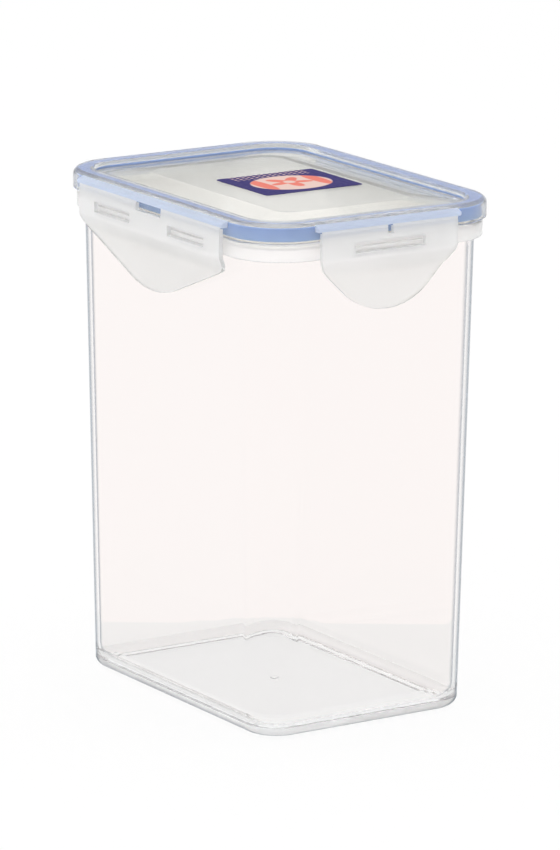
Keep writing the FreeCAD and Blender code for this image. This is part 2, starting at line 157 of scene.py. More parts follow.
# Stage: gap under the foot ring, floor rings as shares of the floor's radius, sky at the horizon, light
# bounces and the camera's far limit
FLOOR_DROP = 0.1 * MM
FLOOR_RINGS = (0.02, 0.2, 0.5, 1.0)
FLOOR_STEPS = 64
HORIZON = (0.55, 0.56, 0.58)
BOUNCES = 32
CAMERA_FAR = 50.0

# Lamps by place, width in metres and power in watts, and where they point
LAMPS = {
    "key lamp": ((0.9, -1.3, 1.6), 1.4, 6.0),
    "fill lamp": ((-1.4, -0.6, 1.0), 1.2, 2.5),
}
LAMP_TARGET = (0.0, 0.0, 0.1)

# Sides in quarter turns from the front, with the kind of flap each carries
SIDES = {"front": "long", "right": "short", "back": "long", "left": "short"}


def length(name, description, metres):
    """A length in metres that a user may change."""
    return FloatProperty(name=name, description=description, default=metres, unit="LENGTH", precision=5)


def size(name, description, millimetres):
    """A small length in millimetres that a user may change."""
    return length(name, description, millimetres * MM)


def share(name, description, default):
    """A number from nought to one that a user may change."""
    return FloatProperty(
        name=name, description=description, default=default, min=0.0, max=1.0, subtype="FACTOR"
    )


def angle(name, description, degrees):
    """An angle that a user may change."""
    return FloatProperty(name=name, description=description, default=math.radians(degrees), subtype="ANGLE")


def colour(name, description, *default):
    """A colour that a user may change."""
    return FloatVectorProperty(
        name=name, description=description, default=default, size=3, min=0.0, max=1.0, subtype="COLOR"
    )


class MouthSizes(PropertyGroup):
    """Outline of the container's mouth. Every other outline is this one moved outward by a reach."""

    long_side: length("Long side", "Length of the mouth", SEAL_HIGH.x - SEAL_LOW.x - 2 * SEAL_REACH)
    short_side: length("Short side", "Width of the mouth", SEAL_HIGH.y - SEAL_LOW.y - 2 * SEAL_REACH)
    corner: size("Corner", "Corner radius of the mouth", 17.0)
    top: length("Top", "Height of the lip's top", CONTAINER_HIGH.z)


class ContainerSizes(PropertyGroup):
    """Section of the clear container."""

    draft_inset: size("Draft", "Lean of the walls from mouth to base", 4.0)
    wall: size("Wall", "Thickness of the walls", 1.8)
    floor: size("Floor", "Thickness of the floor", 2.0)
    base_round: size("Base round", "Outside radius at the base", 3.7)
    floor_round: size("Floor round", "Inside radius at the floor", 6.5)
    foot_height: size("Foot height", "Height of the foot ring", 0.8)
    foot_inset: size("Foot inset", "Foot ring inside the base outline", 5.0)
    foot_width: size("Foot width", "Width of the foot ring", 2.0)
    foot_slope: size("Foot slope", "Half the width of the foot's slanted sides", 0.8)
    lip_height: size("Lip height", "Lip above the flange", 4.6)
    flange: size("Flange", "Thickness of the collar's flange", 1.7)
    collar_gap: size("Collar gap", "Gap between wall and collar", 1.2)
    collar_wall: size("Collar wall", "Thickness of the collar", 1.4)
    collar_depth: size("Collar depth", "Height of the collar", 6.0)
    rib_reach: size("Rib reach", "Catch ribs beyond the mouth", 4.3)
    rib_low: size("Rib rise", "Catch ribs above the collar's edge", 2.0)
    rib_height: size("Rib height", "Height of the catch ribs", 1.5)
    rib_overhang: size("Rib overhang", "Catch ribs beyond the hooks", 3.0)
    gate_radius: size("Gate mark", "Radius of the floor's moulding mark", 1.6)
    gate_height: size("Gate height", "Height of the moulding mark", 0.25)


class LidSizes(PropertyGroup):
    """Section of the milky lid plate and its hinge lands."""

    reach: size("Reach", "Rim beyond the mouth", 4.0)
    skirt_low: size("Skirt edge", "Height of the rim's lower edge", 178.0)
    wall: size("Skirt wall", "Thickness of the rim's skirt", 1.4)
    rim_round: size("Rim round", "Radius of the rim's outer edge", 2.2)
    rim_inner_round: size("Inner round", "Radius of the rim's inner edge", 0.9)
    plug_outer: size("Plug reach", "Plug wall inside the mouth", 2.4)
    plug_wall: size("Plug wall", "Thickness of the plug wall", 1.3)
    panel_drop: size("Panel drop", "Panel below the rim", 2.4)
    panel: size("Panel", "Thickness of the panel", 1.6)
    hip_margin: size("Hip margin", "Border between rim and slopes", 1.5)
    hip_run: size("Hip run", "Width of the slopes", 13.3)
    plateau_corner: size("Plateau corner", "Corner radius of the plateau", 9.0)
    land_rise: size("Land rise", "Hinge land's top above the hinge", 2.7)
    land_gap: size("Land gap", "Hinge land's underside above the hinge", 0.3)
    land_slope: size("Land slope", "Fall of a hinge land's top", 1.0)
    land_root: size("Land root", "Depth of a hinge land in the rim", 0.7)
    land_margin: size("Land margin", "Hinge land beyond its flap", 1.5)
    land_round: size("Land round", "Edge radius of the hinge lands", 0.25)


class FlapSizes(PropertyGroup):
    """Section and outline of the locking flaps."""

    thickness: size("Thickness", "Thickness beside the hinge", 1.6)
    tongue: size("Tongue", "Thickness below the bend", 1.3)
    tongue_inset: size("Tongue inset", "Tongue inside the flap's face", 2.8)
    tip_flare: size("Tip flare", "Outward turn of the tip", 0.6)
    bend_top: size("Bend top", "Height where the bend begins", 170.9)
    bend_low: size("Bend end", "Height where the bend ends", 165.4)
    bend_round: size("Bend round", "Radius of the bend", 4.0)
    bevel_width: size("Bevel width", "Width of the bevel at the hinge", 0.27)
    bevel_height: size("Bevel height", "Height of the bevel at the hinge", 0.75)
    notch_drop: size("Notch drop", "Notch below the hinge", 2.8)
    slot_low: size("Slot edge", "Height of the slots' lower edge", 173.1)
    slot_height: size("Slot height", "Height of the slots", 3.6)
    hook_height: size("Hook height", "Height of the hooks", 1.5)
    hook_reach: size("Hook reach", "Hooks' tips beyond the mouth", 3.2)
    edge_round: size("Edge round", "Edge radius of the flaps", 0.22)
    long_corner: size("Long corner", "Lower corner radius of a long flap", 6.0)
    long_tip: size("Long tip", "Tip radius of a long flap", 40.0)
    long_slope: angle("Long slope", "Slant of a long flap's lower edges", 22.0)
    long_slot: size("Long slot", "Length of a long flap's slots", 23.5)
    long_spread: size("Long spread", "Long flap's slots from its middle", 24.4)
    short_corner: size("Short corner", "Lower corner radius of a short flap", 8.0)
    short_tip: size("Short tip", "Tip radius of a short flap", 25.0)
    short_slope: angle("Short slope", "Slant of a short flap's lower edges", 45.0)
    short_slot: size("Short slot", "Length of a short flap's slot", 29.0)


class FinishValues(PropertyGroup):
    """Colours and clearness of the canister's plastics, seal and label."""

    clear_colour: colour("Clear plastic", "Clear container", 0.987, 0.961, 0.952)
    floor_colour: colour("Clear floor", "Clear container's floor", *WHITE)
    satin_colour: colour("Satin plastic", "Container's satin skin", 1.0, 0.995, 0.99)
    satin_clear: share("Satin clearness", "Light through the satin skin", 0.65)
    # Colour of the painted shade on clear plastic seen edge on
    clear_edge_shade: colour("Clear edge shade", "Clear plastic seen edge on", 0.11, 0.15, 0.20)
    clear_depth: colour("Clear depth", "Long ways through clear plastic", 0.66, 0.69, 0.74)
    milk_colour: colour("Milky lid", "Lid plate", 0.905, 0.905, 0.865)
    milk_glow: colour("Rim glow", "Lid where the seal shows through", 0.66, 0.71, 0.84)
    # Colour of the painted shade on the lid's rim seen edge on
    milk_edge_shade: colour("Rim edge shade", "Lid's rim seen edge on", 0.45, 0.48, 0.56)
    milk_clear: share("Lid clearness", "Light through the lid", 0.9)
    land_colour: colour("Hinge land", "Hinge lands", 0.76, 0.83, 0.97)
    land_clear: share("Land clearness", "Light through the hinge lands", 0.5)
    flap_colour: colour("Frosted flap", "Flaps above the bend", 0.93, 0.93, 0.93)
    tongue_colour: colour("Flap tongue", "Flaps' thin tongues", 0.90, 0.91, 0.905)
    flap_clear: share("Flap clearness", "Light through the flaps", 0.6)
    tongue_clear: share("Tongue clearness", "Light through the tongues", 0.88)
    seal_colour: colour("Seal", "Sealing ring", 0.26, 0.47, 0.97)
    label_ground: colour("Label ground", "Label's dark ground", 0.03, 0.02, 0.15)
    label_band: colour("Label band", "Label's rosette and leaves", 0.78, 0.20, 0.15)
    label_pale: colour("Label pale", "Label's oval and dots", 0.78, 0.56, 0.50)


class StageValues(PropertyGroup):
    """Camera, floor and the toned table that clear plastic shows."""

    azimuth: angle("Azimuth", "Way round the canister to the camera", 57.03)
    elevation: angle("Elevation", "Camera above the horizon", 13.62)
    roll: angle("Roll", "Tilt of the camera", 0.39)
    distance: length("Distance", "Camera to the canister's middle", 2.02556)
    target: size("Target", "Height the camera points at", 92.5)
    lens: FloatProperty(name="Lens", description="Focal length in millimetres", default=240.4)
    shift_x: FloatProperty(name="Shift across", description="Picture's sideways shift", default=0.0049)
    shift_y: FloatProperty(name="Shift up", description="Picture's upward shift", default=0.01215)
    floor_radius: length("Floor radius", "Radius of the floor", 8.0)
    table_colour: colour("Table tone", "Table seen through clear plastic", 0.905, 0.935, 0.94)
    table_depth: size("Table depth", "Half the depth of the toned table", 84.0)
    table_width: size("Table width", "Half the width of the toned table", 110.0)
    table_turn: angle("Table turn", "Turn of the toned table", 57.03)


def chosen(group):
    """Values of a group as the user has set them."""
    return getattr(bpy.context.scene, f"canister_{group}")


def flap_face():
    """Reach of the flaps' outer face from the mouth."""
    return -LONG_FLAP_LOW.y - chosen("mouth").short_side / 2


# Steps round a corner of an outline, and stops along its straight runs as shares of the run
CORNER_STEPS = 20
RUN_STOPS = np.array([0.004, 0.02, 0.1, 0.25, 0.4, 0.6, 0.75, 0.9, 0.98, 0.996])

# Degrees over which the mark of an outline's corners, which carries the painted edge shade, fades at their
# ends
CORNER_FADE = 10.0


def outline_path():
    """One lap of a rounded rectangle as corner signs and unit normals.

    A point of the outline is its corner's centre plus the corner radius times a unit normal. In a corner
    the normal turns by a quarter while the centre stays. On a straight run the normal stays while the
    signs of the centre slide to the next corner.
    """
    turn = np.linspace(0.0, np.pi / 2, CORNER_STEPS + 1)
    start = np.arange(4)[:, None] * np.pi / 2
    angles = np.hstack([start + turn, np.repeat(start + np.pi / 2, RUN_STOPS.size, axis=1)])
    signs = np.array([(1, 1), (-1, 1), (-1, -1), (1, -1)], float)
    ahead = np.roll(signs, -1, axis=0)
    slide = np.concatenate([np.zeros(turn.size), RUN_STOPS])[:, None]
    centre = signs[:, None] + (ahead - signs)[:, None] * slide
    normal = np.stack([np.cos(angles), np.sin(angles)], axis=-1)
    return centre.reshape(-1, 2), normal.reshape(-1, 2)


def corner_columns():
    """One in the rounded corners of an outline, falling to nought at their ends and on the straight runs."""
    turn = np.linspace(0.0, 90.0, CORNER_STEPS + 1)
    inside = np.clip(np.minimum(turn, 90.0 - turn) / CORNER_FADE, 0.0, 1.0)
    return np.tile(np.concatenate([inside, np.zeros(RUN_STOPS.size)]), 4)


def upright_share(rings):
    """How steep a stack of rings is at each ring: the rise over the length of the profile's tangent."""
    rise = np.abs(np.gradient(rings[:, 3]))
    run = np.abs(np.gradient(rings[:, 0]))
    return rise / np.maximum(np.hypot(rise, run), TINY)


def ring_grid(rings):
    """Grid of stacked outlines. A ring is half length, half width, corner radius and height."""
    centre, normal = outline_path()
    half = rings[:, None, 0:2]
    corner = rings[:, None, 2:3]
    plan = (half - corner) * centre + corner * normal
    height = np.broadcast_to(rings[:, None, 3:4], plan[..., :1].shape)
    return np.concatenate([plan, height], axis=-1)


def reach_rings(profile):
    """Rings of a profile of reach and height carried round the mouth, moved out by each reach."""
    mouth = chosen("mouth")
    reach, height = profile.T
    sides = [mouth.long_side / 2 + reach, mouth.short_side / 2 + reach]
    return np.stack([*sides, mouth.corner + reach, height], axis=-1)


def shrunk(ring, shares):
    """Copies of a ring drawn in towards the middle by each share, at the same height."""
    factors = np.asarray(shares, float)[:, None] * np.array([1.0, 1.0, 1.0, 0.0])
    return ring * (factors + np.array([0.0, 0.0, 0.0, 1.0]))


def unit(vectors):
    """Vectors drawn to a length of one."""
    return vectors / np.maximum(np.linalg.norm(vectors, axis=1, keepdims=True), TINY)


def rounded(corners, steps=6, closed=False):
    """Polyline with rounded corners: each corner gives way to an arc of its radius that touches both edges.

    A corner is a point and its radius. The arc's centre lies on the corner's bisector, radius over the sine
    of half the angle away, and its points swing from one touching point to the other.
    """
    corners = np.asarray(corners, float)
    points, radius = corners[:, :2], corners[:, 2:]
    back = unit(np.roll(points, 1, axis=0) - points)
    fore = unit(np.roll(points, -1, axis=0) - points)
    half = np.arccos(np.clip((back * fore).sum(axis=1, keepdims=True), -1.0, 1.0)) / 2
    centre = points + unit(back + fore) * radius / np.sin(half)
    start = points + back * radius / np.tan(half) - centre
    finish = points + fore * radius / np.tan(half) - centre
    swing = np.maximum(np.pi - 2 * half, TINY)[:, None]
    part = np.linspace(0.0, 1.0, steps + 1)[None, :, None]
    arcs = np.sin((1 - part) * swing) * start[:, None] + np.sin(part * swing) * finish[:, None]
    path = (centre[:, None] + arcs / np.sin(swing)).reshape(-1, 2)
    apart = np.linalg.norm(np.diff(path, axis=0), axis=1) > SAME_POINT
    path = path[np.concatenate([[True], apart])]
    return supported(np.vstack([path, path[:1]]))[:-1] if closed else supported(path)


def supported(path, margin=0.12 * MM, spacing=5.0 * MM, shortest=0.72 * MM):
    """Polyline with extra points on its longer edges: one close to each end and some between, evenly."""

    def stops(run):
        if run < shortest:
            return np.zeros(1)
        between_ends = np.linspace(margin, run - margin, 2 + int(run / spacing))
        return np.concatenate([[0.0], between_ends]) / run

    edges = np.diff(path, axis=0)
    pieces = [start + edge * stops(np.linalg.norm(edge))[:, None] for start, edge in zip(path[:-1], edges)]
    return np.vstack([*pieces, path[-1:]])


def filled(marks, step):
    """Sorted marks with even stops between them, none further apart than a step."""
    marks = np.unique(np.round(np.asarray(marks, float), decimals=7))
    runs = [np.linspace(a, b, 1 + math.ceil((b - a) / step))[:-1] for a, b in zip(marks[:-1], marks[1:])]
    return np.concatenate([*runs, marks[-1:]])


def grid_quads(rows, columns, loop_rows=False, loop_columns=True):
    """Corner numbers of the quads of a grid, closed on itself where asked."""
    index = np.arange(rows * columns).reshape(rows, columns)
    if loop_rows:
        index = np.vstack([index, index[:1]])
    if loop_columns:
        index = np.hstack([index, index[:, :1]])
    quads = [index[:-1, :-1], index[:-1, 1:], index[1:, 1:], index[1:, :-1]]
    return np.stack(quads, axis=-1).reshape(-1, 4)


def loft(grid, closed=False):
    """Points and faces of a skin over loops: closed on itself, or shut by a flat face at each end."""
    rows, columns = grid.shape[:2]
    faces = grid_quads(rows, columns, loop_rows=closed).tolist()
    if not closed:
        last = (rows - 1) * columns
        faces += [list(range(columns))[::-1], list(range(last, last + columns))]
    return grid.reshape(-1, 3), faces


def on_side(side, along, outward, height):
    """Point on a side: its middle on the mouth outline, moved along the side, outward and up."""
    mouth = chosen("mouth")
    turn = list(SIDES).index(side) * np.pi / 2
    half = mouth.short_side / 2 if SIDES[side] == "long" else mouth.long_side / 2
    out = half + np.asarray(outward, float)
    along = np.asarray(along, float)
    x = np.cos(turn) * along + np.sin(turn) * out
    y = np.sin(turn) * along - np.cos(turn) * out
    return np.stack(np.broadcast_arrays(x, y, height), axis=-1)


def bar(side, section, low, high):
    """Points and faces of a section of reach and height carried straight along a side, shut at both ends."""
    reach, height = np.asarray(section, float).T
    stations = np.array([low, high])[:, None]
    return loft(on_side(side, stations, reach[None], height[None]))


def sheet_solid(sheets, solid):
    """Points and faces of two sheets over one grid, joined along every free edge of the solid quads."""
    rows, columns = sheets[0].shape[:2]
    number = np.arange(rows * columns).reshape(rows, columns)
    quads = grid_quads(rows, columns, loop_columns=False)[solid.ravel()]
    behind = rows * columns
    padded = np.pad(solid, 1)
    level = padded[:-1, 1:-1] != padded[1:, 1:-1]
    upright = padded[1:-1, :-1] != padded[1:-1, 1:]
    starts = np.concatenate([number[:, :-1][level], number[:-1][upright]])
    ends = np.concatenate([number[:, 1:][level], number[1:][upright]])
    walls = np.stack([starts, ends, ends + behind, starts + behind], axis=-1)
    faces = np.vstack([quads, quads[:, ::-1] + behind, walls])
    used, packed = np.unique(faces, return_inverse=True)
    points = np.concatenate([sheet.reshape(-1, 3) for sheet in sheets])[used]
    return points, packed.reshape(faces.shape).tolist()


def make_piece(name, solids, material, bevel=0.0, sharp=40.0, marks=None):
    """Object of one or more closed solids with smooth faces, all facing outward.

    Edges that turn by more than the sharp angle are rounded where a bevel is given, and else left sharp.
    Marks are values for each point that the material reads.
    """
    points = []
    faces = []
    for corners, skin in solids:
        start = sum(len(part) for part in points)
        points.append(corners)
        faces += [[start + number for number in face] for face in skin]
    mesh = bpy.data.meshes.new(name)
    mesh.from_pydata(np.vstack(points).tolist(), [], faces)
    shell = bmesh.new()
    shell.from_mesh(mesh)
    bmesh.ops.recalc_face_normals(shell, faces=shell.faces)
    shell.to_mesh(mesh)
    shell.free()
    for label, values in (marks or {}).items():
        field = mesh.attributes.new(label, "FLOAT", "POINT")
        field.data.foreach_set("value", np.ravel(values).astype(np.float32))
    mesh.shade_smooth()
    mesh.materials.append(material)
    piece = bpy.data.objects.new(name, mesh)
    bpy.context.scene.collection.objects.link(piece)
    if bevel:
        finish = piece.modifiers.new("Round edges", "BEVEL")
        finish.width = bevel
        finish.segments = 3
        finish.limit_method = "ANGLE"
        finish.angle_limit = math.radians(sharp)
        finish.harden_normals = True
    else:
        mesh.set_sharp_from_angle(angle=math.radians(sharp))
    return piece


def fill(tree, socket, value):
    """Feeds a socket: links another node's output to it, or sets it to a constant."""
    if isinstance(value, NodeSocket):
        tree.links.new(value, socket)
    else:
        socket.default_value = value


def add_node(tree, kind, **values):
    """New shader node with the named sockets fed."""
    made = tree.nodes.new(kind)
    for name, value in values.items():
        fill(tree, made.inputs[name.replace("_", " ")], value)
    return made


def reckon(tree, operation, *values):
    """Result of a sum on some values."""
    made = tree.nodes.new("ShaderNodeMath")
    made.operation = operation
    for socket, value in zip(made.inputs, values):
        fill(tree, socket, value)
    return made.outputs["Value"]


def ramp(tree, value, start=0.0, end=1.0, low=0.0, high=1.0, smooth=False):
    """A value carried from the range between start and end to the range between low and high."""
    limits = {"From_Min": start, "From_Max": end, "To_Min": low, "To_Max": high}
    made = add_node(tree, "ShaderNodeMapRange", Value=value, **limits)
    if smooth:
        made.interpolation_type = "SMOOTHSTEP"
    return made.outputs["Result"]


def between(tree, factor, low, high):
    """Mixes two colours by a factor."""
    shade = tree.nodes.new("ShaderNodeMix")
    shade.data_type = "RGBA"
    for name, value in (("A", low), ("B", high)):
        fill(tree, shade.inputs[name], value if isinstance(value, NodeSocket) else (*value, 1.0))
    fill(tree, shade.inputs["Factor"], factor)
    return shade.outputs["Result"]


def mix_shaders(tree, factor, first, second):
    """Mixes two shaders by a factor."""
    mix = tree.nodes.new("ShaderNodeMixShader")
    for socket, value in zip(mix.inputs, (factor, first, second)):
        fill(tree, socket, value)
    return mix.outputs["Shader"]


def start_material(name):
    """Empty node material with its output and Object coordinates."""
    material = bpy.data.materials.new(name)
    material.use_nodes = True
    tree = material.node_tree
    tree.nodes.clear()
    output = tree.nodes.new("ShaderNodeOutputMaterial")
    place = tree.nodes.new("ShaderNodeTexCoord")
    return material, tree, output, place.outputs["Object"]


def grain(tree, place, scale):
    """Cloudy pattern of a given number of patches to the metre."""
    cloud = add_node(tree, "ShaderNodeTexNoise", Vector=place, Scale=scale, Detail=3.0, Roughness=0.55)
    return cloud.outputs["Fac"]


def clouds(tree, place, scale, low, high):
    """Cloudy pattern spread over a range of values."""
    return ramp(tree, grain(tree, place, scale), start=0.3, end=0.7, low=low, high=high)


def ripple(tree, place, scale, strength, depth):
    """Bump of a cloudy pattern, with its depth in metres."""
    height = grain(tree, place, scale)
    bump = add_node(tree, "ShaderNodeBump", Height=height, Strength=strength, Distance=depth)
    return bump.outputs["Normal"]


def read_mark(tree, label):
    """Value of a mark that a piece carries at its points."""
    mark = tree.nodes.new("ShaderNodeAttribute")
    mark.attribute_name = label
    return mark.outputs["Fac"]


def painted_edge_shade(tree, face, rim, start, full):
    """Painted shade on a see-through plastic: its colour darkens towards the rim colour, from start to full,
    where marked corners turn edge on.
    """
    edge = add_node(tree, "ShaderNodeLayerWeight", Blend=0.5)
    turned = ramp(tree, edge.outputs["Facing"], start, full, smooth=True)
    return between(tree, reckon(tree, "MULTIPLY", turned, read_mark(tree, "corner")), face, rim)


def start_plastic(name, haze, bend, passing):
    """See-through plastic with faint moulding ripples and clouds in its gloss.

    Its satin skin is duller. Light from the lamps passes through it, dimmed by a tint.
    """
    material, tree, output, place = start_material(name)
    gloss = clouds(tree, place, scale=120.0, low=0.8 * haze, high=1.2 * haze)
    body = add_node(
        tree,
        "ShaderNodeBsdfPrincipled",
        IOR=bend,
        Transmission_Weight=1.0,
        Roughness=reckon(tree, "MULTIPLY_ADD", read_mark(tree, "satin"), SATIN_DULL, gloss),
        Normal=ripple(tree, place, scale=40.0, strength=0.03, depth=0.3 * MM),
    )
    path = tree.nodes.new("ShaderNodeLightPath")
    clear = add_node(tree, "ShaderNodeBsdfTransparent", Color=(*passing, 1.0))
    surface = mix_shaders(tree, path.outputs["Is Shadow Ray"], body.outputs["BSDF"], clear.outputs["BSDF"])
    fill(tree, output.inputs["Surface"], surface)
    return material, tree, output, body, place


def finish_plastic(tree, body, tint, clear):
    """Gives a plastic its colour and how much light it lets through."""
    fill(tree, body.inputs["Base Color"], tint)
    fill(tree, body.inputs["Transmission Weight"], clear)


def clear_plastic():
    """Polished clear plastic.

    Its tint deepens with the way through. Its rounded corners carry painted shade that darkens towards their
    outlines.
    """
    finish = chosen("finish")
    passing = (0.96, 0.96, 0.96)
    material, tree, output, body, _ = start_plastic("clear plastic", haze=0.03, bend=1.25, passing=passing)
    satin = read_mark(tree, "satin")
    tint = between(tree, read_mark(tree, "floor"), finish.clear_colour, finish.floor_colour)
    tint = between(tree, satin, tint, finish.satin_colour)
    # Painted shade where the marked corners and the base's round edge turn edge on
    tint = painted_edge_shade(tree, tint, finish.clear_edge_shade, start=0.52, full=0.78)
    finish_plastic(tree, body, tint, ramp(tree, satin, low=1.0, high=finish.satin_clear))
    depth = add_node(tree, "ShaderNodeVolumeAbsorption", Color=(*finish.clear_depth, 1.0), Density=3.0)
    fill(tree, output.inputs["Volume"], depth.outputs["Volume"])
    return material


def milky_plastic():
    """Faintly milky plastic of the lid, with the seal's colour glowing through the rim, and painted shade
    where its rim turns edge on.
    """
    finish = chosen("finish")
    passing = (0.92, 0.92, 0.90)
    material, tree, _, body, _ = start_plastic("milky plastic", haze=0.10, bend=1.25, passing=passing)
    satin = read_mark(tree, "satin")
    tint = between(tree, read_mark(tree, "seal"), finish.milk_colour, finish.milk_glow)
    # Painted shade where the rim's outer faces turn edge on
    tint = painted_edge_shade(tree, tint, finish.milk_edge_shade, start=0.48, full=0.76)
    tint = between(tree, satin, tint, finish.land_colour)
    finish_plastic(tree, body, tint, ramp(tree, satin, low=finish.milk_clear, high=finish.land_clear))
    return material


def frosted_plastic():
    """Frosted plastic of the flaps, clearer in the thin tongue below the bend."""
    finish = chosen("finish")
    flaps = chosen("flaps")
    passing = (0.9, 0.9, 0.9)
    material, tree, _, body, place = start_plastic("frosted plastic", haze=0.4, bend=1.2, passing=passing)
    height = add_node(tree, "ShaderNodeSeparateXYZ", Vector=place)
    rise = ramp(tree, height.outputs["Z"], flaps.bend_low, flaps.bend_top)
    tint = between(tree, rise, finish.tongue_colour, finish.flap_colour)
    finish_plastic(tree, body, tint, ramp(tree, rise, low=finish.tongue_clear, high=finish.flap_clear))
    return material


def soft_silicone():
    """Soft blue silicone with a dull sheen and a dusty grain."""
    seal = chosen("finish").seal_colour
    dusty = [SEAL_DUST * value for value in seal]
    material, tree, output, place = start_material("blue silicone")
    body = add_node(
        tree,
        "ShaderNodeBsdfPrincipled",
        IOR=1.41,
        Sheen_Weight=0.1,
        Base_Color=between(tree, grain(tree, place, scale=220.0), seal, dusty),
        Roughness=clouds(tree, place, scale=500.0, low=0.4, high=0.55),
        Normal=ripple(tree, place, scale=1500.0, strength=0.1, depth=0.05 * MM),
    )
    fill(tree, output.inputs["Surface"], body.outputs["BSDF"])
    return material


def printed_paper():
    """Printed paper: inks laid on a dark ground where the label's marks say, with a fine paper grain."""
    finish = chosen("finish")
    material, tree, output, place = start_material("printed paper")
    ink = between(tree, read_mark(tree, "pale"), finish.label_ground, finish.label_pale)
    ink = between(tree, read_mark(tree, "coral"), ink, finish.label_band)
    ink = between(tree, read_mark(tree, "dots"), ink, finish.label_pale)
    body = add_node(
        tree,
        "ShaderNodeBsdfPrincipled",
        IOR=1.4,
        Specular_IOR_Level=0.1,
        Base_Color=ink,
        Roughness=clouds(tree, place, scale=700.0, low=0.45, high=0.6),
    )
    fill(tree, output.inputs["Surface"], body.outputs["BSDF"])
    return material


def stage_white():
    """White floor that keeps the canister's soft shadow.

    Plain white to the eye. Clear plastic shows the table, an oblong under the canister, a little greyer.
    """
    values = chosen("stage")
    material, tree, output, place = start_material("stage white")
    path = tree.nodes.new("ShaderNodeLightPath")
    turned = add_node(tree, "ShaderNodeMapping", Vector=place, Rotation=(0.0, 0.0, -values.table_turn))
    spot = add_node(tree, "ShaderNodeSeparateXYZ", Vector=turned.outputs["Vector"])
    inside = path.outputs["Is Transmission Ray"]
    for axis, limit in (("X", values.table_width), ("Y", values.table_depth)):
        near = reckon(tree, "COMPARE", spot.outputs[axis], 0.0, limit)
        inside = reckon(tree, "MULTIPLY", inside, near)
    tone = between(tree, inside, WHITE, values.table_colour)
    lit = add_node(tree, "ShaderNodeBsdfDiffuse", Color=(0.95, 0.95, 0.95, 1.0)).outputs["BSDF"]
    glow = add_node(tree, "ShaderNodeEmission", Color=tone, Strength=1.0).outputs["Emission"]
    looks = path.outputs["Is Camera Ray"]
    for ray in ("Is Transmission Ray", "Is Glossy Ray"):
        looks = reckon(tree, "MAXIMUM", looks, path.outputs[ray])
    surface = mix_shaders(tree, looks, lit, mix_shaders(tree, SHADOW_SHARE, glow, lit))
    fill(tree, output.inputs["Surface"], surface)
    return material


class CANISTER_OT_container(Operator):
    """Clear container: a drafted shell with foot ring, collar, lip and catch ribs."""

    bl_idname = "canister.container"
    bl_label = "Container"

    def execute(self, context):
        """One profile carried round the mouth and closed by rings over the underside and the floor."""
        mouth = chosen("mouth")
        shape = chosen("container")
        fall = shape.draft_inset / (mouth.top - shape.foot_height)

        def outside(height):
            """Reach of the outside wall, which leans in evenly from the mouth downward."""
            return -fall * (mouth.top - height)

        foot = shape.foot_height
        slope = shape.foot_slope
        floor_top = foot + shape.floor
        flange_top = mouth.top - shape.lip_height
        flange_low = flange_top - shape.flange
        collar_low = flange_top - shape.collar_depth
        collar_out = shape.collar_gap + shape.collar_wall
        foot_out = -shape.draft_inset - shape.foot_inset
        foot_in = foot_out - shape.foot_width
        border = foot_in - FLOOR_BORDER
        corners = [
            (border, foot, 0.0),
            (foot_in - slope, foot, foot),
            (foot_in + slope, 0.0, foot),
            (foot_out - slope, 0.0, foot),
            (foot_out + slope, foot, foot),
            (-shape.draft_inset, foot, shape.base_round),
            (outside(flange_low), flange_low, FINE_EDGE),
            (shape.collar_gap, flange_low, TIGHT_EDGE),
            (shape.collar_gap, collar_low, FINE_EDGE),
            (collar_out, collar_low, SMALL_EDGE),
            (collar_out, flange_top, SOFT_EDGE),
            (outside(flange_top), flange_top, FINE_EDGE),
            (0.0, mouth.top, SOFT_EDGE),
            (-shape.wall, mouth.top, SOFT_EDGE),
            (outside(floor_top) - shape.wall, floor_top, shape.floor_round),
            (border, floor_top, 0.0),
        ]
        rings = reach_rings(rounded(corners, PROFILE_STEPS))
        under = shrunk(rings[0], UNDER_STOPS)
        inside = shrunk(rings[-1], FLOOR_STOPS)
        gate = np.array(GATE_PROFILE) * (shape.gate_radius, shape.gate_height)
        mark = np.array([(radius, radius, radius, floor_top + rise) for radius, rise in gate])
        stack = np.vstack([under, rings, inside, mark])
        reach = stack[:, :1] - mouth.long_side / 2
        height = stack[:, 3:]
        # Mark of the painted edge shade: the rounded corners below the collar, by how steep each ring is
        corner = upright_share(stack)[:, None] * corner_columns() * (height < collar_low)
        order = np.arange(len(stack))[:, None] - len(under)
        below = (order < len(rings) // 2) & (height < foot + shape.base_round)
        turned = below & (reach > -shape.draft_inset - shape.base_round - MARK_SLACK)
        collar = reach > shape.collar_gap / 2
        satin = np.select([collar | turned, below], [1.0, UNDER_SATIN], 0.0)
        level = (height < floor_top + shape.gate_height + MARK_SLACK) & ~turned
        whole = np.ones_like(corner)
        marks = {
            # The painted edge shade also darkens the base's round edge by a share
            "corner": np.maximum(corner, ROUND_EDGE_SHADE * turned),
            "satin": satin * whole,
            "floor": level * whole,
        }
        plastic = clear_plastic()
        piece = make_piece("container_shell", [loft(ring_grid(stack))], plastic, marks=marks)
        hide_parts("container")
        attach(piece, "container")

        root = collar_out - RIB_ROOT
        low = collar_low + shape.rib_low
        high = low + shape.rib_height
        section = [(root, low), (shape.rib_reach, low), (shape.rib_reach, high), (root, high)]
        for side, kind in SIDES.items():
            _, _, _, middles, slot = flap_marks(kind)
            half = middles[-1] + slot / 2 + shape.rib_overhang
            block = bar(side, section, -half, half)
            marks = {"satin": np.ones(len(block[0]))}
            rib = make_piece(f"catch_rib_{side}", [block], plastic, FINE_EDGE, marks=marks)
            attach(rib, "container")
        return {"FINISHED"}


